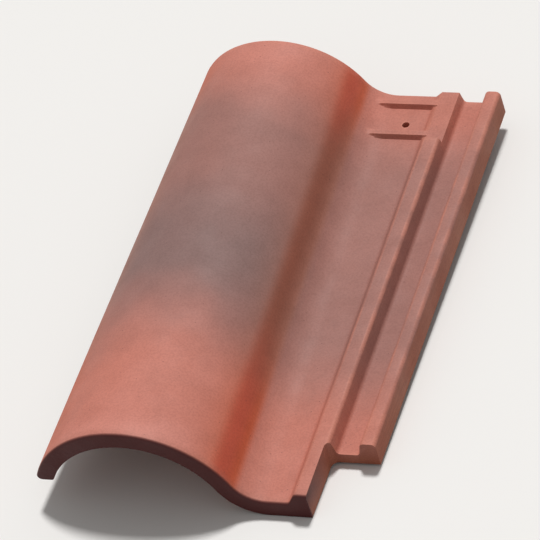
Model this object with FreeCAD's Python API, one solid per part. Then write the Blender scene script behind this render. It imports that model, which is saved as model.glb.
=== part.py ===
"""Clay roof pantile: one fired piece with a barrel roll, a narrow pan, a side lock and two hanging nibs.

The tile is drawn in its own frame first: X across it, from the free edge of the roll to the side lock,
Y up the slope from tail to head, Z out of the roof, with the pan's underside at Z = 0 and the roll's
crown at the tail over X = 0. At the end it is tipped as it lies on a level floor, on its nibs and the
tail of its pan, and its origin is moved under the middle of its box.
"""

import FreeCAD
import Part

import math
import os

from FreeCAD import Vector

# Overall sizes, in millimetres. The widths are at the tail, level with the top of the pan
TILE_LENGTH = 435.0
ROLL_WIDTH = 170.0
PAN_WIDTH = 45.0
HEAD_LAP = 55.0
WALL = 14.0

# The roll is a cone, widest at the tail, so that it goes over the head of the tile below it
ROLL_RISE = 68.0
ROLL_TAPER = 10.0
ROLL_SKEW = 4.0
HOLLOW_RADIUS = 28.0

# Side lock: the neighbour's free edge rests on the first rib, and water runs off in the channel
RIB_HEIGHT = 10.0
RIB_SHOWN = 5.0
RIB_TOP = 13.0
RIB_DRAFT = 6.0
CHANNEL_WIDTH = 18.0
CHANNEL_DEPTH = 5.0
CHANNEL_DRAFT = 3.0
OUTER_RIB_TOP = 12.0
OUTER_RIB_DROP = 2.0
LOCK_GAP = 1.5
NOTCH_ROUND = 6.0

# Water bars across the pan at the head, which carry the tail of the tile above
BAR_HEIGHT = 4.0
BAR_WIDTH = 9.0
BAR_DRAFT = 2.0
BAR_ROUND = 1.2
LOWER_BAR_INSET = 9.0
UPPER_BAR_INSET = 12.0

# Nibs that hook over the batten, and the nail hole just down the slope from them
NIB_INSET = 22.0
NIB_DEPTH = 14.0
NIB_TIP = 12.0
NIB_ROOT = 18.0
NIB_ROUND = 2.0
PAN_NIB_WIDTH = 40.0
ROLL_NIB_WIDTH = 34.0
NIB_CLEARANCE = 4.0
NAIL_RADIUS = 3.0
NAIL_EDGE = 12.0

# Easing of the clay: the corners of the lock, and the edges of the tail, the head and the free edge
LOCK_ROUND = 3.5
EDGE_ROUND = 2.5

COVER_WIDTH = ROLL_WIDTH + PAN_WIDTH
PAN_TOP = WALL
ROLL_RADIUS = (ROLL_WIDTH ** 2 / 4 + ROLL_RISE ** 2) / (2 * ROLL_RISE)
ROLL_CENTRE_Z = PAN_TOP + ROLL_RISE - ROLL_RADIUS
RIB_Z = PAN_TOP + RIB_HEIGHT
EDGE_Z = RIB_Z + LOCK_GAP
LAP_Z = PAN_TOP + BAR_HEIGHT
LAP_Y = TILE_LENGTH - HEAD_LAP
NIB_Y = TILE_LENGTH - NIB_INSET
REST_SLOPE = NIB_DEPTH / NIB_Y
SAME_PLACE = 1e-4


def half_chord(radius, height):
    """Half the width of a circle at a height from its centre."""
    return math.sqrt(radius * radius - height * height)


def roll_radius(y):
    """Outer radius of the roll at a distance from the tail."""
    return ROLL_RADIUS - ROLL_TAPER * y / TILE_LENGTH


def roll_x(y):
    """Where the crown is: it drifts towards the free edge from tail to head."""
    return -ROLL_SKEW * y / TILE_LENGTH


def hollow_x(y):
    """Centre of the round hollow that leads the roll into the pan."""
    reach = roll_radius(y) + HOLLOW_RADIUS
    return roll_x(y) + half_chord(reach, PAN_TOP + HOLLOW_RADIUS - ROLL_CENTRE_Z)


def free_edge_x(y):
    """Outer corner of the roll's free edge."""
    return roll_x(y) - half_chord(roll_radius(y), EDGE_Z - ROLL_CENTRE_Z)


# Places across the lock: the neighbour's free edge is one cover width along, over the first rib
RIB_LEFT = COVER_WIDTH + free_edge_x(0.0) - RIB_SHOWN
RIB_RIGHT = RIB_LEFT + RIB_TOP
RIB_FOOT = RIB_LEFT - RIB_DRAFT
PAN_END = RIB_FOOT - LOCK_ROUND
CHANNEL_LEFT = RIB_RIGHT + CHANNEL_DRAFT
CHANNEL_RIGHT = CHANNEL_LEFT + CHANNEL_WIDTH
OUTER_RIB_LEFT = CHANNEL_RIGHT + CHANNEL_DRAFT
LOCK_END = OUTER_RIB_LEFT + OUTER_RIB_TOP
NOTCH_X = COVER_WIDTH + free_edge_x(TILE_LENGTH) - LOCK_GAP


def line(start, end):
    """A straight edge."""
    return Part.LineSegment(start, end).toShape()


def arc(start, middle, end):
    """A round edge through three points."""
    return Part.Arc(start, middle, end).toShape()


def rounded_outline(corners):
    """Closed flat wire through pairs of a corner and the radius that rounds it."""
    starts, ends, edges = [], [], []
    for i, (here, radius) in enumerate(corners):
        back = (corners[i - 1][0] - here).normalize()
        ahead = (corners[(i + 1) % len(corners)][0] - here).normalize()
        half = back.getAngle(ahead) / 2
        reach = radius / math.tan(half)
        starts.append(here + back * reach)
        ends.append(here + ahead * reach)
        if radius:
            inward = (back + ahead).normalize()
            edges.append(arc(starts[i], here + inward * (radius / math.sin(half) - radius), ends[i]))
    for i, end in enumerate(ends):
        edges.append(line(end, starts[(i + 1) % len(starts)]))
    return Part.Wire(Part.__sortEdges__(edges))


def box_between(low, high):
    """A plain block from its lowest to its highest corner."""
    return Part.makeBox(high.x - low.x, high.y - low.y, high.z - low.z, low)


def under_top_line(offset, spare):
    """All that lies under the tile's top line, moved outwards: the cone of the roll, the hollow and the pan.

    It runs past the tail and the head by a spare length. The cone's axis leans with the crown, so the cone
    is made a little longer and then cut square.
    """
    far = COVER_WIDTH + spare
    tail, head = -spare, TILE_LENGTH + spare
    low, high = tail - WALL, head + WALL
    base = Vector(roll_x(low), low, ROLL_CENTRE_Z)
    axis = Vector(roll_x(TILE_LENGTH), TILE_LENGTH, 0)
    cone = Part.makeCone(roll_radius(low) + offset, roll_radius(high) + offset, high - low, base, axis)
    pan = box_between(Vector(0, low, -far), Vector(far, high, PAN_TOP + offset))
    solid = cone.fuse(pan).common(box_between(Vector(-far, tail, -far), Vector(far, head, far)))
    valley = [e for e in solid.Edges if abs(e.BoundBox.ZMin - PAN_TOP - offset) < SAME_PLACE
              and e.BoundBox.YLength > TILE_LENGTH / 2 and e.BoundBox.XMax < COVER_WIDTH]
    return solid.makeFillet(HOLLOW_RADIUS - offset, valley)


def roll_and_pan():
    """The S-shaped shell from the tail to the head, one wall thick, with its free edge cut level."""
    far = 2 * COVER_WIDTH
    below_edge = box_between(Vector(-far, -far, -far), Vector(0, far + TILE_LENGTH, EDGE_Z))
    past_pan = box_between(Vector(PAN_END, -far, -far), Vector(far, far + TILE_LENGTH, far))
    solid = under_top_line(0.0, 0.0).cut(past_pan).cut(under_top_line(-WALL, WALL))
    return solid.cut(below_edge)


def side_lock():
    """The strip that goes under the next tile: two ribs and the channel between them."""
    floor_z = PAN_TOP - CHANNEL_DEPTH
    outer_z = RIB_Z - OUTER_RIB_DROP
    outline = rounded_outline([
        (Vector(PAN_END, 0, 0), 0.0),
        (Vector(PAN_END, 0, PAN_TOP), 0.0),
        (Vector(RIB_FOOT, 0, PAN_TOP), LOCK_ROUND),
        (Vector(RIB_LEFT, 0, RIB_Z), LOCK_ROUND),
        (Vector(RIB_RIGHT, 0, RIB_Z), LOCK_ROUND),
        (Vector(CHANNEL_LEFT, 0, floor_z), LOCK_ROUND),
        (Vector(CHANNEL_RIGHT, 0, floor_z), LOCK_ROUND),
        (Vector(OUTER_RIB_LEFT, 0, outer_z), LOCK_ROUND),
        (Vector(LOCK_END, 0, outer_z), LOCK_ROUND),
        (Vector(LOCK_END, 0, 0), 0.0),
    ])
    return Part.Face(outline).extrude(Vector(0, TILE_LENGTH, 0))


def tail_notch():
    """Cut in the lock's tail corner, which makes room for the roll of the tile down and across."""
    inner_y = HEAD_LAP + LOCK_GAP
    low, high = -WALL, RIB_Z + WALL
    far_x = LOCK_END + WALL
    outline = rounded_outline([
        (Vector(NOTCH_X, -WALL, low), 0.0),
        (Vector(far_x, -WALL, low), 0.0),
        (Vector(far_x, inner_y, low), 0.0),
        (Vector(NOTCH_X, inner_y, low), NOTCH_ROUND),
    ])
    return Part.Face(outline).extrude(Vector(0, 0, high - low))


def head_rebate():
    """Cut that lowers the first rib at the head, so that the tile above lies on it and on the bars."""
    low = Vector(PAN_END, LAP_Y - LOCK_GAP, LAP_Z)
    high = Vector(CHANNEL_LEFT, TILE_LENGTH + WALL, RIB_Z + WALL)
    return box_between(low, high)


def water_bar(middle_y):
    """A low bar across the pan, from inside the foot of the roll to inside the first rib."""
    x = hollow_x(middle_y) - half_chord(HOLLOW_RADIUS, HOLLOW_RADIUS - 2 * BAR_HEIGHT)
    low_z = PAN_TOP - BAR_HEIGHT
    low, high = BAR_WIDTH / 2 + BAR_DRAFT, BAR_WIDTH / 2 - BAR_DRAFT
    profile = rounded_outline([
        (Vector(x, middle_y - low, low_z), 0.0),
        (Vector(x, middle_y - high, LAP_Z), BAR_ROUND),
        (Vector(x, middle_y + high, LAP_Z), BAR_ROUND),
        (Vector(x, middle_y + low, low_z), 0.0),
    ])
    return Part.Face(profile).extrude(Vector(RIB_LEFT - x, 0, 0))


def nib(x, width, root_z):
    """A hanging nib: a square face towards the tail, a sloped back, and a foot cut level with the floor."""
    left = x - width / 2
    tip_y, root_y = NIB_Y + NIB_TIP, NIB_Y + NIB_ROOT
    corners = [
        Vector(left, NIB_Y, -REST_SLOPE * NIB_Y),
        Vector(left, tip_y, -REST_SLOPE * tip_y),
        Vector(left, root_y, root_z),
        Vector(left, NIB_Y, root_z),
    ]
    solid = Part.Face(Part.makePolygon(corners + corners[:1])).extrude(Vector(width, 0, 0))
    return solid.makeFillet(NIB_ROUND, [e for e in solid.Edges if e.BoundBox.ZLength > NIB_DEPTH])


def pan_nib():
    """The nib under the pan."""
    return nib(PAN_END, PAN_NIB_WIDTH, WALL / 2)


def roll_nib():
    """The deep nib under the roll, beside the neighbour's lock."""
    x = LOCK_END - COVER_WIDTH + NIB_CLEARANCE + ROLL_NIB_WIDTH / 2
    back_y = NIB_Y + NIB_ROOT
    inside_z = ROLL_CENTRE_Z + half_chord(roll_radius(back_y) - WALL, x - roll_x(back_y))
    return nib(x, ROLL_NIB_WIDTH, inside_z + WALL / 2)


def nail_hole():
    """A round hole through the pan, over the batten."""
    x = (hollow_x(NIB_Y) + PAN_END) / 2
    return Part.makeCylinder(NAIL_RADIUS, 3 * WALL, Vector(x, NIB_Y - NAIL_EDGE, -WALL))


def at_distance(edge, y):
    """True for an edge that lies wholly at one distance from the tail."""
    box = edge.BoundBox
    return box.YLength < SAME_PLACE and abs(box.YMin - y) < SAME_PLACE


def along_free_edge(edge):
    """True for the two long edges of the roll's free edge."""
    box = edge.BoundBox
    return box.YLength > TILE_LENGTH / 2 and abs(box.ZMin - EDGE_Z) < SAME_PLACE


def on_upper_side(edge, underside):
    """True for an edge whose middle is clear of all that lies under the tile."""
    middle = edge.valueAt((edge.FirstParameter + edge.LastParameter) / 2)
    return not underside.isInside(middle, SAME_PLACE, True)


def eased(body):
    """The body with its free edge and the upper edges of its tail and head rounded, as a press leaves them."""
    underside = under_top_line(-WALL, WALL)
    ends = [e for e in body.Edges if at_distance(e, 0.0) or at_distance(e, TILE_LENGTH)]
    upper = [e for e in ends if on_upper_side(e, underside)]
    return body.makeFillet(EDGE_ROUND, upper + [e for e in body.Edges if along_free_edge(e)])


def tile_in_own_frame():
    """The finished tile with the pan's underside at Z = 0 and the tail at Y = 0."""
    body = eased(roll_and_pan().fuse(side_lock()).removeSplitter())
    body = body.cut([tail_notch(), head_rebate()])
    bars = [water_bar(LAP_Y + LOWER_BAR_INSET), water_bar(TILE_LENGTH - UPPER_BAR_INSET)]
    body = body.fuse(bars + [pan_nib(), roll_nib()])
    return body.cut(nail_hole()).removeSplitter().Solids[0]


def lay_on_floor(tile):
    """Tip the tile onto its nibs and its tail, and put the origin under the middle of its box."""
    tile.rotate(Vector(0, 0, 0), Vector(1, 0, 0), math.degrees(math.atan(REST_SLOPE)))
    box = tile.optimalBoundingBox()
    tile.translate(Vector(-box.Center.x, -box.Center.y, -box.ZMin))
    return tile


def main():
    """Build the tile and write it as one solid."""
    tile = lay_on_floor(tile_in_own_frame())
    os.makedirs("parts", exist_ok=True)
    tile.exportStep("parts/pantile.step")


main()
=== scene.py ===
"""Studio picture of a flamed clay roof pantile, lying on a pale floor.

The tile is drawn in its own frame, in metres: X across it, from the free edge of the roll to the side lock,
Y from tail to head, and Z out of its weather side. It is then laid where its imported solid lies.
"""

import logging
import math
from dataclasses import dataclass, field
from enum import Enum

import bmesh
import bpy
from mathutils import Matrix, Vector, noise


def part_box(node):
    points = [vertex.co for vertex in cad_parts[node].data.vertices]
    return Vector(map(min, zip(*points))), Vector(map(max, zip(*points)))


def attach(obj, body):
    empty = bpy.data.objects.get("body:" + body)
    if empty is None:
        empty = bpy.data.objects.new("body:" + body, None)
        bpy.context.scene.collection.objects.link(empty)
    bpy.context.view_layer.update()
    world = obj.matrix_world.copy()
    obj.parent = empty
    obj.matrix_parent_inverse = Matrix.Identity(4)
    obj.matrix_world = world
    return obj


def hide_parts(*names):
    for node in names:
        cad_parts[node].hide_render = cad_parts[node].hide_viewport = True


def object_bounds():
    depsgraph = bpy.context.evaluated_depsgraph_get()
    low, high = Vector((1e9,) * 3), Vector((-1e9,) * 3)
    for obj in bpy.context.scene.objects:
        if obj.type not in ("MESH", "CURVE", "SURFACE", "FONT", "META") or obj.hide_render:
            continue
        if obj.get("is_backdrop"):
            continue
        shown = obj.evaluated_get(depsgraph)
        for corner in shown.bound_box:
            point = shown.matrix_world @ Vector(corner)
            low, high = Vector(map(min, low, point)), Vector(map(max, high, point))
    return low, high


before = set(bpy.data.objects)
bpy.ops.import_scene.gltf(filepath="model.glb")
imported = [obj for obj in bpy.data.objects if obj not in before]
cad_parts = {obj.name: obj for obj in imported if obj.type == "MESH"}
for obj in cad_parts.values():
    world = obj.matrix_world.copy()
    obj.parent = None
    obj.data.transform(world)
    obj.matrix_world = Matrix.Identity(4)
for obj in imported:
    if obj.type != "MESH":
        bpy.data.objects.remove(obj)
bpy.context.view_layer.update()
LOG = logging.getLogger("pantile")

Point = tuple[float, float]
Span = tuple[float, float]
Colour = tuple[float, float, float, float]

# The screen's curve: a straight toe, then a power of the shifted value
FULL_CHANNEL = 255
TOE_END = 0.04045
TOE_SLOPE = 12.92
CURVE_OFFSET = 0.055
CURVE_POWER = 2.4


def paint(red: int, green: int, blue: int) -> Colour:
    """Give a colour that is written as it looks on a screen, in the renderer's linear numbers.

    Args:
        red: Red from 0 to 255.
        green: Green from 0 to 255.
        blue: Blue from 0 to 255.

    Returns:
        The linear colour with full alpha.
    """
    def linear(value: int) -> float:
        """Undo the screen's curve for one channel.

        Args:
            value: The channel from 0 to 255.

        Returns:
            The linear value from 0 to 1.
        """
        share = value / FULL_CHANNEL
        if share <= TOE_END:
            return share / TOE_SLOPE
        return ((share + CURVE_OFFSET) / (1 + CURVE_OFFSET)) ** CURVE_POWER
    return (linear(red), linear(green), linear(blue), 1.0)


def arc(centre: Point, radius: float, start: float, end: float, steps: int) -> list[Point]:
    """Give points along a round stretch of a section.

    Args:
        centre: Centre of the circle, as X and Z.
        radius: Its radius.
        start: Angle of the first point, in radians from +X towards +Z.
        end: Angle of the last point.
        steps: Number of equal steps between them.

    Returns:
        The points, with both ends.
    """
    angles = [start + (end - start) * i / steps for i in range(steps + 1)]
    return [(centre[0] + radius * math.cos(a), centre[1] + radius * math.sin(a)) for a in angles]


def run(start: Point, end: Point, steps: int) -> list[Point]:
    """Give points along a straight stretch of a section.

    Args:
        start: First point, as X and Z.
        end: Last point.
        steps: Number of equal steps between them.

    Returns:
        The points, with both ends.
    """
    return [(start[0] + (end[0] - start[0]) * i / steps, start[1] + (end[1] - start[1]) * i / steps)
            for i in range(steps + 1)]


def rounded(corners: list[Point], radius: float, steps: int) -> list[Point]:
    """Give points along a bent line whose inner corners are rounded.

    Args:
        corners: The line's corners, as X and Z, with its two ends.
        radius: Radius that rounds each inner corner.
        steps: Number of steps on each round.

    Returns:
        The points, with both ends.
    """
    points = [corners[0]]
    for before, here, after in zip(corners, corners[1:], corners[2:]):
        middle = Vector(here)
        back = (Vector(before) - middle).normalized()
        ahead = (Vector(after) - middle).normalized()
        half = back.angle(ahead) / 2
        centre = middle + (back + ahead).normalized() * (radius / math.sin(half))
        first = middle + back * (radius / math.tan(half)) - centre
        last = middle + ahead * (radius / math.tan(half)) - centre
        start = math.atan2(first.y, first.x)
        turn = (math.atan2(last.y, last.x) - start + math.pi) % math.tau - math.pi
        points += arc((centre.x, centre.y), radius, start, start + turn, steps)
    return points + [corners[-1]]


def joined(*stretches: list[Point]) -> list[Point]:
    """Chain stretches that each start where the last one ended.

    Args:
        stretches: The stretches in order.

    Returns:
        Their points, with each joint once.
    """
    points = list(stretches[0])
    for stretch in stretches[1:]:
        points += stretch[1:]
    return points


def ramp(value: float, start: float, end: float) -> float:
    """Give a value that goes smoothly from 0 at the start to 1 at the end."""
    share = min(max((value - start) / (end - start), 0.0), 1.0)
    return share * share * (3 - 2 * share)


@dataclass(frozen=True)
class TileSection:
    """Cross-section of the tile at any distance from its tail."""

    length: float = 0.435
    roll_width: float = 0.170
    pan_width: float = 0.045
    head_lap: float = 0.055
    wall: float = 0.014
    roll_rise: float = 0.068
    roll_taper: float = 0.010
    roll_skew: float = 0.004
    hollow_radius: float = 0.028
    rib_height: float = 0.010
    rib_shown: float = 0.005
    rib_top: float = 0.013
    rib_draft: float = 0.006
    channel_width: float = 0.018
    channel_depth: float = 0.005
    channel_draft: float = 0.003
    outer_rib_top: float = 0.012
    outer_rib_drop: float = 0.002
    lock_gap: float = 0.0015
    lock_round: float = 0.0035
    edge_round: float = 0.0025
    bar_height: float = 0.004
    bar_width: float = 0.009
    bar_draft: float = 0.002
    lower_bar_inset: float = 0.009
    upper_bar_inset: float = 0.012
    cut_slope: float = 0.0004
    roll_steps: int = 56
    hollow_steps: int = 14
    pan_steps: int = 6
    corner_steps: int = 5
    round_steps: int = 4
    station_gap: float = 0.006

    @property
    def cover_width(self) -> float:
        """Width that one tile covers."""
        return self.roll_width + self.pan_width

    @property
    def tail_radius(self) -> float:
        """Outer radius of the roll at the tail."""
        return (self.roll_width ** 2 / 4 + self.roll_rise ** 2) / (2 * self.roll_rise)

    @property
    def centre_z(self) -> float:
        """Height of the roll's axis."""
        return self.wall + self.roll_rise - self.tail_radius

    @property
    def rib_z(self) -> float:
        """Top of the first rib."""
        return self.wall + self.rib_height

    @property
    def edge_z(self) -> float:
        """Level of the roll's free edge."""
        return self.rib_z + self.lock_gap

    @property
    def lap_y(self) -> float:
        """Where the head lap starts."""
        return self.length - self.head_lap

    @property
    def lap_z(self) -> float:
        """Level of the head lap, on top of the water bars."""
        return self.wall + self.bar_height

    @property
    def rib_left(self) -> float:
        """Left end of the first rib's top."""
        return self.cover_width + self.free_edge_x(0.0) - self.rib_shown

    @property
    def pan_end(self) -> float:
        """Where the pan meets the side lock."""
        return self.rib_left - self.rib_draft - self.lock_round

    @property
    def channel_left(self) -> float:
        """Left end of the channel's floor."""
        return self.rib_left + self.rib_top + self.channel_draft

    @property
    def lock_end(self) -> float:
        """Outer side of the lock."""
        return self.channel_left + self.channel_width + self.channel_draft + self.outer_rib_top

    @property
    def notch_x(self) -> float:
        """Inner side of the notch in the lock's tail."""
        return self.cover_width + self.free_edge_x(self.length) - self.lock_gap

    def radius(self, y: float) -> float:
        """Give the roll's outer radius at a distance from the tail."""
        return self.tail_radius - self.roll_taper * y / self.length

    def crown_x(self, y: float) -> float:
        """Give the crown's place: it drifts towards the free edge from tail to head."""
        return -self.roll_skew * y / self.length

    def hollow_x(self, y: float) -> float:
        """Give the centre of the hollow that leads the roll into the pan.

        Args:
            y: Distance from the tail.

        Returns:
            The centre's X.
        """
        reach = self.radius(y) + self.hollow_radius
        height = self.wall + self.hollow_radius - self.centre_z
        return self.crown_x(y) + math.sqrt(reach ** 2 - height ** 2)

    def bend_x(self, y: float) -> float:
        """Give the steepest place of the flank, where the roll turns into the hollow."""
        share = self.radius(y) / (self.radius(y) + self.hollow_radius)
        return self.crown_x(y) + (self.hollow_x(y) - self.crown_x(y)) * share

    def free_edge_x(self, y: float) -> float:
        """Give the outer corner of the roll's free edge."""
        return self.crown_x(y) - math.sqrt(self.radius(y) ** 2 - (self.edge_z - self.centre_z) ** 2)

    def inset(self, y: float) -> float:
        """Give how far the round of the tail or head takes the upper side down."""
        short = self.edge_round - min(y, self.length - y, self.edge_round)
        return self.edge_round - math.sqrt(self.edge_round ** 2 - short ** 2)

    def bar_middles(self) -> tuple[float, float]:
        """Give the places of the two water bars."""
        return (self.lap_y + self.lower_bar_inset, self.length - self.upper_bar_inset)

    def bar(self, y: float) -> float:
        """Give the height of the water bars over the pan at a distance from the tail."""
        off = min(abs(y - middle) for middle in self.bar_middles())
        return self.bar_height * ramp(self.bar_width / 2 - off, 0.0, self.bar_draft)

    def barred(self, point: Point, y: float) -> Point:
        """Lift a point of the upper side onto a water bar, or lower it into the rebate at the head.

        Args:
            point: Point of the plain upper side, as X and Z.
            y: Its distance from the tail.

        Returns:
            The point with its final height.
        """
        x, z = point
        if self.bar(y) > 0 and self.hollow_x(y) - self.hollow_radius < x < self.rib_left:
            z = max(z, self.wall + self.bar(y))
        if y > self.lap_y - self.lock_gap and self.pan_end < x < self.channel_left:
            z = min(z, self.lap_z)
        return (x, z)

    def ring(self, y: float) -> list[Point]:
        """Give the closed outline of the section, from the free edge over the roll and back underneath.

        Args:
            y: Distance from the tail.

        Returns:
            The points in order, as X and Z. The number of points is the same at every distance.
        """
        inset, small, down = self.inset(y), self.edge_round, 1.5 * math.pi
        roll = (self.crown_x(y), self.centre_z)
        hollow = (self.hollow_x(y), self.wall + self.hollow_radius)
        outer, inner = self.radius(y) - inset, self.radius(y) - self.wall
        lean = math.atan2(hollow[1] - roll[1], hollow[0] - roll[0])
        edge_z = self.edge_z + small
        across = [-math.sqrt(r * r - (edge_z - roll[1]) ** 2) for r in (outer - small, inner + small)]
        out_turn, in_turn = (math.atan2(edge_z - roll[1], x) for x in across)
        out_edge, in_edge = ((roll[0] + x, edge_z) for x in across)
        corner, bend, flat, turns = self.corner_steps, self.hollow_steps, self.pan_steps, self.roll_steps
        pan_z, floor_z = self.wall - inset, self.wall - self.channel_depth - inset
        outer_z, side_x = self.rib_z - self.outer_rib_drop - inset, self.lock_end - inset
        rib_right = self.rib_left + self.rib_top
        channel_right = self.channel_left + self.channel_width
        lock = rounded([
            (self.pan_end, pan_z), (self.rib_left - self.rib_draft, pan_z),
            (self.rib_left, self.rib_z - inset), (rib_right, self.rib_z - inset),
            (self.channel_left, floor_z), (channel_right, floor_z),
            (channel_right + self.channel_draft, outer_z), (side_x, outer_z), (side_x, 0.0),
        ], self.lock_round, corner)
        upper = joined(
            arc(out_edge, small, down, out_turn, corner),
            arc(roll, outer, out_turn, lean, turns),
            arc(hollow, self.hollow_radius + inset, lean + math.pi, down, bend),
            run((hollow[0], pan_z), (self.pan_end, pan_z), flat),
            lock,
        )
        under = joined(
            run((side_x, 0.0), (self.pan_end, 0.0), flat),
            run((self.pan_end, 0.0), (hollow[0], 0.0), flat),
            arc(hollow, self.hollow_radius + self.wall, down, lean + math.pi, bend),
            arc(roll, inner, lean, in_turn, turns),
            arc(in_edge, small, in_turn + math.pi, down, corner),
        )
        return [self.barred(point, y) for point in upper] + under[1:]

    def stations(self) -> list[float]:
        """Give the distances from the tail at which the section is drawn.

        Returns:
            The distances in order, close together on the rounds, the bars and the rebate.
        """
        turns = [math.pi / 2 * i / self.round_steps for i in range(self.round_steps + 1)]
        ends = [self.edge_round * (1 - math.cos(a)) for a in turns]
        foot, top = self.bar_width / 2, self.bar_width / 2 - self.bar_draft
        offsets = (-foot, -(foot + top) / 2, -top, 0.0, top, (foot + top) / 2, foot)
        rebate = self.lap_y - self.lock_gap
        keys = ends + [self.length - end for end in ends] + [rebate, rebate + self.cut_slope]
        keys += [middle + offset for middle in self.bar_middles() for offset in offsets]
        keys.sort()
        places = [keys[0]]
        for low, high in zip(keys, keys[1:]):
            steps = max(1, round((high - low) / self.station_gap))
            places += [low + (high - low) * (i + 1) / steps for i in range(steps)]
        return places


class Coat(Enum):
    """What the skin stores, each from 0 to 1: its coat of slip, its edge wear, and its painted shade and
    sheen.
    """

    COVER = "slip_cover"
    SHEEN_SHADE = "slip_body"
    CREASE = "slip_crease"
    WEAR = "edge_wear"
    # Where the tail face gets painted shade
    NOSE = "burnt_nose"


class Joining(Enum):
    """Ways to put a second shape to the tile."""

    CUT = "DIFFERENCE"
    ADD = "UNION"


@dataclass
class Pantile:
    """The whole tile: its skin, its cut corner and nail hole, and its hanging nibs."""

    section: TileSection = field(default_factory=TileSection)
    name: str = "flamed_pantile"
    nib_inset: float = 0.022
    nib_depth: float = 0.014
    nib_tip: float = 0.012
    nib_root: float = 0.018
    nib_round: float = 0.002
    pan_nib_width: float = 0.040
    roll_nib_width: float = 0.034
    nib_clearance: float = 0.004
    nail_radius: float = 0.003
    nail_edge: float = 0.012
    nail_rod_walls: int = 3
    nail_steps: int = 32
    nib_steps: int = 3
    notch_round: float = 0.006
    notch_steps: int = 6
    soft_edge: float = 0.0007
    soft_steps: int = 2
    soft_from: float = 38.0
    sharp_from: float = 32.0
    warp: float = 0.0003
    warp_length: float = 0.09
    bare_below: float = 0.22
    # Normal heights between which the painted shade of the steep flanks turns into the painted sheen of the
    # top
    flank_shade_below: float = 0.40
    top_sheen_above: float = 0.88
    # How far past the flank's bend the hollow gets painted light
    hollow_light_end: float = 0.005
    # Where the painted shade lies in the crease at the foot of the flank
    crease_above: float = 0.0055
    crease_half: float = 0.001
    crease_end: float = 0.0085
    nose_face: float = 0.0006
    nose_end: float = 0.0030
    least_turn: float = 4.0
    full_turn: float = 16.0

    @property
    def nib_y(self) -> float:
        """Face of the nibs, which hooks over the batten."""
        return self.section.length - self.nib_inset

    @property
    def rest_slope(self) -> float:
        """Slope of the tile as it lies on its nibs and its tail."""
        return self.nib_depth / self.nib_y

    def skin(self) -> bmesh.types.BMesh:
        """Draw the section at every station and join neighbours into a closed skin.

        Returns:
            The skin of the roll, pan, side lock and water bars.
        """
        bm = bmesh.new()
        loops = []
        for y in self.section.stations():
            verts = [bm.verts.new((x, y, z)) for x, z in self.section.ring(y)]
            loops.append([bm.edges.new((verts[i - 1], verts[i])) for i in range(len(verts))])
        for near, far in zip(loops, loops[1:]):
            bmesh.ops.bridge_loops(bm, edges=near + far)
        bmesh.ops.edgeloop_fill(bm, edges=loops[0])
        bmesh.ops.edgeloop_fill(bm, edges=loops[-1])
        bmesh.ops.recalc_face_normals(bm, faces=bm.faces)
        return bm

    def cutters(self) -> bmesh.types.BMesh:
        """Make the block that cuts the lock's tail corner and the rod that bores the nail hole.

        Returns:
            Both cutting shapes, apart from each other.
        """
        s = self.section
        bm = bmesh.new()
        low = Vector((s.notch_x, -s.wall, -s.wall))
        high = Vector((s.lock_end + s.wall, s.head_lap + s.lock_gap, s.rib_z + s.wall))
        cube = bmesh.ops.create_cube(bm, size=1.0)["verts"]
        bmesh.ops.scale(bm, vec=high - low, verts=cube)
        bmesh.ops.translate(bm, vec=(low + high) / 2, verts=cube)
        corner = [e for e in bm.edges
                  if all(v.co.x < s.lock_end and v.co.y > 0 for v in e.verts)]
        bmesh.ops.bevel(bm, geom=corner, offset=self.notch_round, segments=self.notch_steps, profile=0.5,
                        affect="EDGES", material=-1)
        place = Vector(((s.hollow_x(self.nib_y) + s.pan_end) / 2, self.nib_y - self.nail_edge, s.wall / 2))
        bmesh.ops.create_cone(bm, cap_ends=True, segments=self.nail_steps, radius1=self.nail_radius,
                              radius2=self.nail_radius, depth=self.nail_rod_walls * s.wall,
                              matrix=Matrix.Translation(place))
        return bm

    def add_nib(self, bm: bmesh.types.BMesh, x: float, width: float, root_z: float) -> None:
        """Add a hanging nib with a square face towards the tail, a sloped back and a level foot.

        Args:
            bm: Mesh that the nib goes into.
            x: Middle of the nib.
            width: Its width.
            root_z: Level of its root, inside the clay.
        """
        def profile(co: Vector) -> Vector:
            """Move a corner of a unit cube to its place on the nib.

            Args:
                co: The corner of the cube.

            Returns:
                The corner of the nib.
            """
            y = self.nib_y
            if co.y > 0:
                y += self.nib_root if co.z > 0 else self.nib_tip
            return Vector((x + co.x * width, y, root_z if co.z > 0 else -self.rest_slope * y))
        cube = bmesh.ops.create_cube(bm, size=1.0)["verts"]
        for vert in cube:
            vert.co = profile(vert.co)
        upright = {e for v in cube for e in v.link_edges
                   if abs(e.verts[0].co.z - e.verts[1].co.z) > self.nib_depth}
        bmesh.ops.bevel(bm, geom=list(upright), offset=self.nib_round, segments=self.nib_steps, profile=0.5,
                        affect="EDGES", material=-1)

    def nibs(self) -> bmesh.types.BMesh:
        """Make the nib under the pan and the deep one under the roll.

        Returns:
            Both nibs, apart from each other.
        """
        s = self.section
        bm = bmesh.new()
        self.add_nib(bm, s.pan_end, self.pan_nib_width, s.wall / 2)
        x = s.lock_end - s.cover_width + self.nib_clearance + self.roll_nib_width / 2
        back = self.nib_y + self.nib_root
        inside = s.centre_z + math.sqrt((s.radius(back) - s.wall) ** 2 - (x - s.crown_x(back)) ** 2)
        self.add_nib(bm, x, self.roll_nib_width, inside + s.wall / 2)
        return bm

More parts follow.
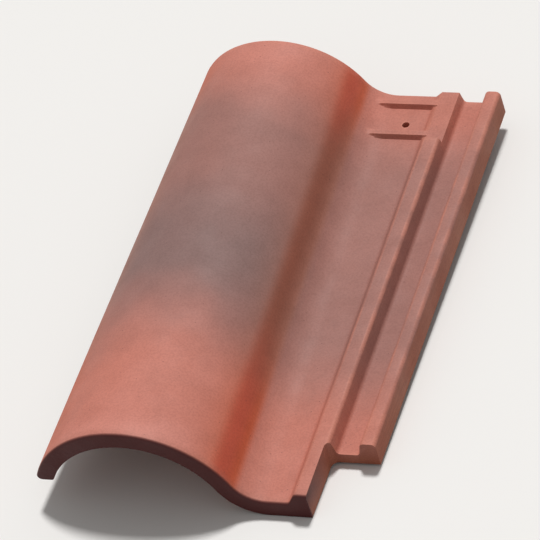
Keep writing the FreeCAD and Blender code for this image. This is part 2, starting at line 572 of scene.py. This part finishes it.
    def lay(self, bm: bmesh.types.BMesh) -> None:
        """Tip the tile onto its nibs and tail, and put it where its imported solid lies.

        Args:
            bm: The finished tile in its own frame.
        """
        turn = Matrix.Rotation(math.atan(self.rest_slope), 3, "X")
        bmesh.ops.rotate(bm, cent=(0, 0, 0), matrix=turn, verts=bm.verts)
        low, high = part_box("pantile")
        mine_low = Vector(min(v.co[i] for v in bm.verts) for i in range(3))
        mine_high = Vector(max(v.co[i] for v in bm.verts) for i in range(3))
        move = (low + high - mine_low - mine_high) / 2
        move.z = low.z - mine_low.z
        bmesh.ops.translate(bm, vec=move, verts=bm.verts)

    def warp_clay(self, bm: bmesh.types.BMesh) -> None:
        """Give the skin the slight waviness that clay takes as it dries and is fired.

        Args:
            bm: The finished tile in its place.
        """
        bm.normal_update()
        for vert in bm.verts:
            vert.co += vert.normal * self.warp * noise.noise(vert.co / self.warp_length)

    def turn_at(self, vert: bmesh.types.BMVert) -> float:
        """Give the sharpest outward turn of the skin at a point, in degrees."""
        turns = [edge.calc_face_angle_signed(0.0) for edge in vert.link_edges]
        return math.degrees(max(turns, default=0.0))

    def coat(self, bm: bmesh.types.BMesh) -> None:
        """Store where the slip lies, where edges are worn, and where shade and sheen are painted on:
        painted shade on the steep flanks, in the crease at their foot and on the tail face, painted sheen
        on the up-facing slip, and painted light in the hollow past the bend.

        Args:
            bm: The finished tile in its own frame.
        """
        cover = bm.verts.layers.float.new(Coat.COVER.value)
        body = bm.verts.layers.float.new(Coat.SHEEN_SHADE.value)
        crease = bm.verts.layers.float.new(Coat.CREASE.value)
        wear = bm.verts.layers.float.new(Coat.WEAR.value)
        nose = bm.verts.layers.float.new(Coat.NOSE.value)
        for vert in bm.verts:
            past = vert.co.x - self.section.bend_x(vert.co.y)
            vert[cover] = ramp(vert.normal.z, 0.0, self.bare_below)
            hollow_lit = ramp(past, 0.0, self.hollow_light_end)
            # Painted sheen on up-facing slip and painted light in the hollow past the bend; painted shade
            # colour on the steep flanks
            vert[body] = max(ramp(vert.normal.z, self.flank_shade_below, self.top_sheen_above), hollow_lit)
            # Painted shade in the crease at the foot of the flank
            vert[crease] = ramp(abs(past + self.crease_above), self.crease_end, self.crease_half)
            vert[wear] = ramp(self.turn_at(vert), self.least_turn, self.full_turn)
            # Painted shade on the tail face
            vert[nose] = ramp(vert.co.y, self.nose_end, self.nose_face)

    def put_to(self, tile: bpy.types.Object, shape: bmesh.types.BMesh, how: Joining) -> None:
        """Cut a shape out of the tile, or add it to the tile.

        Args:
            tile: The tile, whose mesh is replaced.
            shape: The other shape, which is used up.
            how: Whether it is cut out or added.
        """
        tool = self.as_object(shape, "tool")
        step = tile.modifiers.new("step", "BOOLEAN")
        step.operation, step.solver, step.object = how.value, "EXACT", tool
        made = bpy.data.meshes.new_from_object(tile.evaluated_get(bpy.context.evaluated_depsgraph_get()))
        tile.modifiers.clear()
        tile.data = made
        bpy.data.objects.remove(tool)

    def build(self) -> bpy.types.Object:
        """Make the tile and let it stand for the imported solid.

        Returns:
            The finished tile, without its finish.
        """
        tile = self.as_object(self.skin(), self.name)
        self.put_to(tile, self.cutters(), Joining.CUT)
        self.put_to(tile, self.nibs(), Joining.ADD)
        bm = bmesh.new()
        bm.from_mesh(tile.data)
        bm.normal_update()
        self.coat(bm)
        self.lay(bm)
        self.warp_clay(bm)
        bm.to_mesh(tile.data)
        bm.free()
        tile.data.shade_smooth()
        tile.data.set_sharp_from_angle(angle=math.radians(self.sharp_from))
        soft = tile.modifiers.new("soft_edges", "BEVEL")
        soft.width, soft.segments = self.soft_edge, self.soft_steps
        soft.limit_method, soft.angle_limit = "ANGLE", math.radians(self.soft_from)
        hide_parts("pantile")
        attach(tile, "root")
        return tile

    def as_object(self, bm: bmesh.types.BMesh, name: str) -> bpy.types.Object:
        """Put a mesh into the scene as an object of its own.

        Args:
            bm: The mesh, which is used up.
            name: Name of the object.

        Returns:
            The object.
        """
        bmesh.ops.recalc_face_normals(bm, faces=bm.faces)
        mesh = bpy.data.meshes.new(name)
        bm.to_mesh(mesh)
        bm.free()
        piece = bpy.data.objects.new(name, mesh)
        bpy.context.scene.collection.objects.link(piece)
        bpy.context.view_layer.update()
        return piece


Feed = bpy.types.NodeSocket | float | Colour

# Places of the colour sockets on a mixing node, which has a like set for every type of value
MIX_SHARE = 0
MIX_BASE = 6
MIX_TOP = 7
MIX_RESULT = 2

# Middle value of a soft random pattern
MIDDLE = 0.5


@dataclass(frozen=True)
class Mottle:
    """A soft random pattern: the size of its patches in metres, and the span of it that counts."""

    size: float
    detail: float
    shift: float = 0.0
    stretch: tuple[float, float, float] = (1.0, 1.0, 1.0)
    span: Span = (0.35, 0.70)


class Mixing(Enum):
    """Ways to lay one colour over another."""

    LAY = "MIX"
    STAIN = "MULTIPLY"


class Bench:
    """A place to set up a material's nodes and wire them together."""

    def __init__(self, material: bpy.types.Material) -> None:
        """Take over a material.

        Args:
            material: The material, which gets a fresh set of nodes.
        """
        material.use_nodes = True
        self.tree = material.node_tree
        self.shader = self.tree.nodes["Principled BSDF"]

    def wire(self, target: bpy.types.NodeSocket, value: Feed) -> None:
        """Wire another node's output to a socket, or set the socket to a fixed value.

        Args:
            target: The socket.
            value: What goes into it.
        """
        if isinstance(value, bpy.types.NodeSocket):
            self.tree.links.new(value, target)
        else:
            target.default_value = value

    def node(self, kind: str, feeds: dict[str, Feed], **settings: str) -> bpy.types.Node:
        """Add a node.

        Args:
            kind: Blender's name for the type of node.
            feeds: What goes into each named input.
            settings: Options of the node.

        Returns:
            The node.
        """
        made = self.tree.nodes.new(kind)
        for name, value in settings.items():
            setattr(made, name, value)
        for name, value in feeds.items():
            self.wire(made.inputs[name], value)
        return made

    def place(self) -> bpy.types.NodeSocket:
        """Give the place on the tile, in metres."""
        return self.node("ShaderNodeTexCoord", {}).outputs["Object"]

    def along(self, axis: str) -> bpy.types.NodeSocket:
        """Give the place on the tile along one axis, in metres."""
        return self.node("ShaderNodeSeparateXYZ", {"Vector": self.place()}).outputs[axis]

    def stored(self, coat: Coat) -> bpy.types.NodeSocket:
        """Give a value that is stored on the skin."""
        return self.node("ShaderNodeAttribute", {}, attribute_name=coat.value).outputs["Fac"]

    def cloud(self, mottle: Mottle) -> bpy.types.NodeSocket:
        """Give a soft random value over the tile.

        Args:
            mottle: The pattern.

        Returns:
            The value, about 0 to 1, with a half as its middle.
        """
        scale = tuple(1 / (mottle.size * s) for s in mottle.stretch)
        shift = (mottle.shift, mottle.shift, mottle.shift)
        spot = self.node("ShaderNodeMapping", {"Vector": self.place(), "Scale": scale, "Location": shift})
        return self.node("ShaderNodeTexNoise", {"Vector": spot.outputs["Vector"], "Scale": 1.0,
                                                "Detail": mottle.detail}).outputs["Fac"]

    def patches(self, mottle: Mottle) -> bpy.types.NodeSocket:
        """Give a random pattern whose patches go the whole way from 0 to 1."""
        return self.fade(self.cloud(mottle), mottle.span)

    def total(self, first: Feed, second: Feed, share: Feed) -> bpy.types.NodeSocket:
        """Add a share of the second value to the first.

        Args:
            first: The value that counts in full.
            second: The value that is added.
            share: How much of it is added.

        Returns:
            The sum.
        """
        made = self.tree.nodes.new("ShaderNodeMath")
        made.operation = "MULTIPLY_ADD"
        for socket, value in zip(made.inputs, (second, share, first)):
            self.wire(socket, value)
        return made.outputs["Value"]

    def product(self, first: Feed, second: Feed) -> bpy.types.NodeSocket:
        """Multiply two values.

        Args:
            first: One value.
            second: The other.

        Returns:
            The product.
        """
        made = self.tree.nodes.new("ShaderNodeMath")
        made.operation = "MULTIPLY"
        for socket, value in zip(made.inputs, (first, second)):
            self.wire(socket, value)
        return made.outputs["Value"]

    def fade(self, value: Feed, span: Span) -> bpy.types.NodeSocket:
        """Give a value that goes smoothly from 0 at the start of a span to 1 at its end."""
        return self.node("ShaderNodeMapRange", {"Value": value, "From Min": span[0], "From Max": span[1]},
                         interpolation_type="SMOOTHSTEP").outputs["Result"]

    def blend(self, share: Feed, base: Feed, top: Feed, how: Mixing = Mixing.LAY) -> bpy.types.NodeSocket:
        """Lay a colour over another one.

        Args:
            share: How much of the top colour shows.
            base: The colour below.
            top: The colour above.
            how: How they are put together.

        Returns:
            The mixed colour.
        """
        made = self.tree.nodes.new("ShaderNodeMix")
        made.data_type, made.blend_type = "RGBA", how.value
        for index, value in ((MIX_SHARE, share), (MIX_BASE, base), (MIX_TOP, top)):
            self.wire(made.inputs[index], value)
        return made.outputs[MIX_RESULT]


@dataclass(frozen=True)
class FlamedClay:
    """Fired clay: a flamed slip on the weather side, and bare clay on the edges and the underside."""

    name: str = "flamed_clay"
    tail_y: float = -0.216
    smoked_from: Span = (0.068, 0.186)
    cleared_from: Span = (0.205, 0.295)
    ended_from: Span = (0.350, 0.430)
    tail_pale_from: Span = (0.030, 0.002)
    pan_from: Span = (0.023, 0.041)
    hollow_from: Span = (0.016, 0.031)
    red: Colour = paint(195, 119, 102)
    coral: Colour = paint(206, 133, 118)
    washed: Colour = paint(188, 116, 99)
    # Saturated colour that paints the shade on the steep flanks of the red slip
    flank_shade_red: Colour = paint(200, 96, 60)
    # Colour that paints the shade in the crease of the red slip
    crease_shade_red: Colour = paint(189, 84, 61)
    smoke: Colour = paint(134, 103, 98)
    ash: Colour = paint(160, 110, 100)
    # Colour that paints the shade on the steep flanks of the smoked slip
    flank_shade_smoke: Colour = paint(168, 112, 95)
    # Colour that paints the shade in the crease of the smoked slip
    crease_shade_smoke: Colour = paint(142, 82, 64)
    bare: Colour = paint(184, 106, 79)
    bare_pale: Colour = paint(197, 124, 97)
    bare_dark: Colour = paint(166, 92, 67)
    # Dark colour that paints the shade on the tail face
    burnt_nose: Colour = paint(80, 30, 29)
    worn: Colour = paint(208, 134, 114)
    speck: Colour = paint(84, 48, 42)
    stain: Colour = paint(224, 220, 218)
    smoke_wander: Mottle = Mottle(0.16, 3.0)
    wander_reach: float = 0.11
    red_patches: Mottle = Mottle(0.07, 3.0, shift=3.1)
    patch_share: float = 0.6
    tail_pale_share: float = 0.6
    wash_share: float = 0.7
    clear_share: float = 0.85
    pan_ash_share: float = 0.9
    scuffs: Mottle = Mottle(0.022, 4.0, shift=9.0, span=(0.35, 0.65))
    least_scuff: float = 0.15
    scuff_share: float = 0.45
    fired_patches: Mottle = Mottle(0.06, 5.0, shift=5.0)
    press_lines: Mottle = Mottle(0.003, 4.0, shift=13.0, stretch=(1.0, 16.0, 1.0))
    press_share: float = 0.4
    press_relief: float = 0.8
    stains: Mottle = Mottle(0.018, 4.0, shift=7.0, span=(0.30, 0.75))
    stain_share: float = 0.35
    sand: Mottle = Mottle(0.0016, 3.0, shift=2.0)
    sand_share: float = 0.5
    specks_per_metre: float = 260.0
    speck_edge: Span = (0.16, 0.07)
    speck_draw: Span = (0.86, 0.90)
    speck_share: float = 0.55
    fine_relief: Mottle = Mottle(0.0014, 3.0, shift=4.0)
    slow_relief: Mottle = Mottle(0.010, 3.0, shift=6.0)
    slow_share: float = 1.6
    relief_strength: float = 0.35
    relief_depth: float = 0.0004
    gloss_patches: Mottle = Mottle(0.03, 4.0, shift=11.0, span=(0.30, 0.70))
    smoothest: float = 0.57
    roughest: float = 0.68
    gloss: float = 0.35

    def from_tail(self, bench: Bench, place: Feed, span: Span) -> bpy.types.NodeSocket:
        """Give a value that goes from 0 to 1 over a span of distances from the tail."""
        return bench.fade(place, (self.tail_y + span[0], self.tail_y + span[1]))

    def slip(self, bench: Bench) -> bpy.types.NodeSocket:
        """Mix the colour of the flamed slip: red at the tail, smoked in the middle, clearing to the head,
        with painted sheen on the up-facing parts and painted shade on the steep flanks and in the crease.

        Args:
            bench: Where the nodes are set up.

        Returns:
            The colour.
        """
        body, crease = bench.stored(Coat.SHEEN_SHADE), bench.stored(Coat.CREASE)
        wander = bench.total(-MIDDLE, bench.cloud(self.smoke_wander), 1.0)
        reach = bench.total(bench.along("Y"), wander, self.wander_reach)
        smoked = self.from_tail(bench, reach, self.smoked_from)
        cleared = self.from_tail(bench, reach, self.cleared_from)
        ended = self.from_tail(bench, reach, self.ended_from)
        # Paler towards the tail, over its last three centimetres
        tail_pale = self.from_tail(bench, bench.along("Y"), self.tail_pale_from)
        beside = bench.fade(bench.along("X"), self.pan_from)
        hollow = bench.fade(bench.along("X"), self.hollow_from)
        patches = bench.product(bench.patches(self.red_patches), self.patch_share)
        pale = bench.blend(bench.total(patches, tail_pale, self.tail_pale_share), self.red, self.coral)
        pale = bench.blend(bench.product(beside, self.wash_share), pale, self.washed)
        thinned = bench.total(bench.product(cleared, self.clear_share), hollow, self.pan_ash_share)
        grey = bench.blend(thinned, self.smoke, self.ash)
        # The body share paints sheen on up-facing slip and shade on the flanks; the crease share paints
        # shade at the flank's foot
        warm = bench.blend(crease, bench.blend(body, self.flank_shade_red, pale), self.crease_shade_red)
        dark = bench.blend(crease, bench.blend(body, self.flank_shade_smoke, grey), self.crease_shade_smoke)
        dark = bench.blend(ended, dark, warm)
        slip = bench.blend(smoked, warm, dark)
        scuffed = bench.total(self.least_scuff, bench.patches(self.scuffs), self.scuff_share)
        wear = bench.product(bench.stored(Coat.WEAR), scuffed)
        return bench.blend(wear, slip, self.worn)

    def clay(self, bench: Bench) -> bpy.types.NodeSocket:
        """Mix the colour of the bare clay: patches from the firing, and faint lines from the press.

        Args:
            bench: Where the nodes are set up.

        Returns:
            The colour.
        """
        fired = bench.blend(bench.patches(self.fired_patches), self.bare, self.bare_pale)
        lines = bench.product(bench.patches(self.press_lines), self.press_share)
        return bench.blend(lines, fired, self.bare_dark)

    def grain(self, bench: Bench, colour: bpy.types.NodeSocket) -> bpy.types.NodeSocket:
        """Break a colour up with soft mottling, sandy grain and a few dark iron specks.

        Args:
            bench: Where the nodes are set up.
            colour: The even colour.

        Returns:
            The grained colour.
        """
        for mottle, share in ((self.stains, self.stain_share), (self.sand, self.sand_share)):
            darkened = bench.product(bench.patches(mottle), share)
            colour = bench.blend(darkened, colour, self.stain, Mixing.STAIN)
        spots = bench.node("ShaderNodeTexVoronoi",
                           {"Vector": bench.place(), "Scale": self.specks_per_metre}).outputs
        draw = bench.node("ShaderNodeSeparateColor", {"Color": spots["Color"]}).outputs["Red"]
        disc = bench.fade(spots["Distance"], self.speck_edge)
        dot = bench.product(disc, bench.fade(draw, self.speck_draw))
        return bench.blend(bench.product(dot, self.speck_share), colour, self.speck)

    def relief(self, bench: Bench) -> bpy.types.NodeSocket:
        """Give the fine relief: sandy grain over slow unevenness, and press lines where the clay is bare.

        Args:
            bench: Where the nodes are set up.

        Returns:
            The bent surface direction.
        """
        uncovered = bench.total(1.0, bench.stored(Coat.COVER), -1.0)
        lines = bench.product(bench.patches(self.press_lines), uncovered)
        height = bench.total(bench.cloud(self.fine_relief), bench.cloud(self.slow_relief), self.slow_share)
        height = bench.total(height, lines, self.press_relief)
        return bench.node("ShaderNodeBump", {"Height": height, "Strength": self.relief_strength,
                                             "Distance": self.relief_depth}).outputs["Normal"]

    def build(self) -> bpy.types.Material:
        """Make the material.

        Returns:
            The finished material.
        """
        material = bpy.data.materials.new(self.name)
        bench = Bench(material)
        inputs = bench.shader.inputs
        colour = bench.blend(bench.stored(Coat.COVER), self.clay(bench), self.slip(bench))
        # The tail face gets painted shade
        colour = bench.blend(bench.stored(Coat.NOSE), colour, self.burnt_nose)
        bench.wire(inputs["Base Color"], self.grain(bench, colour))
        bench.wire(inputs["Normal"], self.relief(bench))
        uneven = bench.patches(self.gloss_patches)
        bench.wire(inputs["Roughness"], bench.total(self.smoothest, uneven, self.roughest - self.smoothest))
        inputs["Specular IOR Level"].default_value = self.gloss
        return material


@dataclass(frozen=True)
class Studio:
    """The pale floor, the soft key light and the even fill."""

    floor_reach: float = 12.0
    floor_gap: float = 0.0004
    floor_seen: Colour = paint(236, 234, 231)
    floor_bounce: Colour = paint(150, 148, 146)
    floor_roughness: float = 0.9
    floor_gloss: float = 0.1
    to_key: tuple[float, float, float] = (0.0, 0.427, 1.038)
    key_strength: float = 2.5
    key_angle: float = 10.0
    fill: float = 0.32

    def floor(self) -> None:
        """Make the pale floor, which throws less light back at the tile than it shows the camera."""
        bm = bmesh.new()
        bmesh.ops.create_grid(bm, x_segments=1, y_segments=1, size=self.floor_reach)
        bmesh.ops.translate(bm, vec=(0, 0, -self.floor_gap), verts=bm.verts)
        mesh = bpy.data.meshes.new("floor")
        bm.to_mesh(mesh)
        bm.free()
        floor = bpy.data.objects.new("floor", mesh)
        bpy.context.scene.collection.objects.link(floor)
        material = bpy.data.materials.new("pale_floor")
        bench = Bench(material)
        ray = bench.node("ShaderNodeLightPath", {}).outputs
        seen = bench.total(ray["Is Camera Ray"], ray["Is Glossy Ray"], 1.0)
        seen = bench.total(seen, ray["Is Transmission Ray"], 1.0)
        bench.wire(bench.shader.inputs["Base Color"], bench.blend(seen, self.floor_bounce, self.floor_seen))
        bench.shader.inputs["Roughness"].default_value = self.floor_roughness
        bench.shader.inputs["Specular IOR Level"].default_value = self.floor_gloss
        mesh.materials.append(material)
        floor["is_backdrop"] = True

    def key(self) -> None:
        """Make the soft lamp above the head of the tile."""
        lamp = bpy.data.lights.new("key", "SUN")
        lamp.energy, lamp.angle = self.key_strength, math.radians(self.key_angle)
        key = bpy.data.objects.new("key", lamp)
        key.rotation_euler = Vector(self.to_key).to_track_quat("Z", "Y").to_euler()
        bpy.context.scene.collection.objects.link(key)

    def world(self) -> None:
        """Make the even fill, which itself looks as pale as the floor."""
        world = bpy.data.worlds.new("even_fill")
        world.use_nodes = True
        nodes, links = world.node_tree.nodes, world.node_tree.links
        fill = nodes["Background"]
        fill.inputs["Color"].default_value = (1, 1, 1, 1)
        fill.inputs["Strength"].default_value = self.fill
        seen = nodes.new("ShaderNodeBackground")
        seen.inputs["Color"].default_value = self.floor_seen
        ray = nodes.new("ShaderNodeLightPath").outputs
        first, both = nodes.new("ShaderNodeMath"), nodes.new("ShaderNodeMath")
        first.operation = both.operation = "MAXIMUM"
        mix = nodes.new("ShaderNodeMixShader")
        links.new(ray["Is Camera Ray"], first.inputs[0])
        links.new(ray["Is Glossy Ray"], first.inputs[1])
        links.new(first.outputs["Value"], both.inputs[0])
        links.new(ray["Is Transmission Ray"], both.inputs[1])
        links.new(both.outputs["Value"], mix.inputs["Fac"])
        links.new(fill.outputs["Background"], mix.inputs[1])
        links.new(seen.outputs["Background"], mix.inputs[2])
        links.new(mix.outputs["Shader"], nodes["World Output"].inputs["Surface"])
        bpy.context.scene.world = world

    def build(self) -> None:
        """Make the floor, the lamp and the world."""
        self.floor()
        LOG.info("pale floor: %.1f m to each side", self.floor_reach)
        self.key()
        LOG.info("key lamp: strength %.2f", self.key_strength)
        self.world()
        LOG.info("even fill: strength %.2f", self.fill)


@dataclass(frozen=True)
class PictureCamera:
    """Camera that looks up the tile from its tail, turned as the photograph is."""

    azimuth: float = 29.0
    elevation: float = 41.8
    bed_pitch: float = 4.65
    lean: float = 20.9
    distance: float = 4.262
    lens: float = 365.0
    sensor_width: float = 36.0
    nearest: float = 0.1
    farthest: float = 50.0

    def build(self, aim: Vector) -> bpy.types.Object:
        """Make the camera and use it for the picture.

        Args:
            aim: Point in the middle of the picture.

        Returns:
            The camera.
        """
        turn, rise = math.radians(self.azimuth), math.radians(self.elevation)
        back = Vector((math.sin(turn) * math.cos(rise), -math.cos(turn) * math.cos(rise), math.sin(rise)))
        pitch = math.radians(self.bed_pitch)
        normal = Vector((0, -math.sin(pitch), math.cos(pitch)))
        seen = (normal - back * normal.dot(back)).normalized()
        up = Matrix.Rotation(-math.radians(self.lean), 3, back) @ seen
        right = up.cross(back)
        lens = bpy.data.cameras.new("camera")
        lens.lens, lens.sensor_width = self.lens, self.sensor_width
        lens.clip_start, lens.clip_end = self.nearest, self.farthest
        camera = bpy.data.objects.new("camera", lens)
        camera.matrix_world = Matrix.Translation(aim + back * self.distance) @ Matrix(
            (right, up, back)).transposed().to_4x4()
        bpy.context.scene.collection.objects.link(camera)
        bpy.context.scene.camera = camera
        return camera


def main() -> None:
    """Build the tile, its finish, the studio and the camera, and log the tile's faces and the lens."""
    logging.basicConfig(level=logging.INFO, format="%(name)s: %(message)s")
    bpy.context.scene.view_settings.view_transform = "Standard"
    tile = Pantile().build()
    tile.data.materials.append(FlamedClay().build())
    LOG.info("tile %s: %d faces", tile.name, len(tile.data.polygons))
    Studio().build()
    low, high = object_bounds()
    camera = PictureCamera().build((low + high) / 2)
    LOG.info("camera: lens %.0f mm", camera.data.lens)


if __name__ == "__main__":
    main()
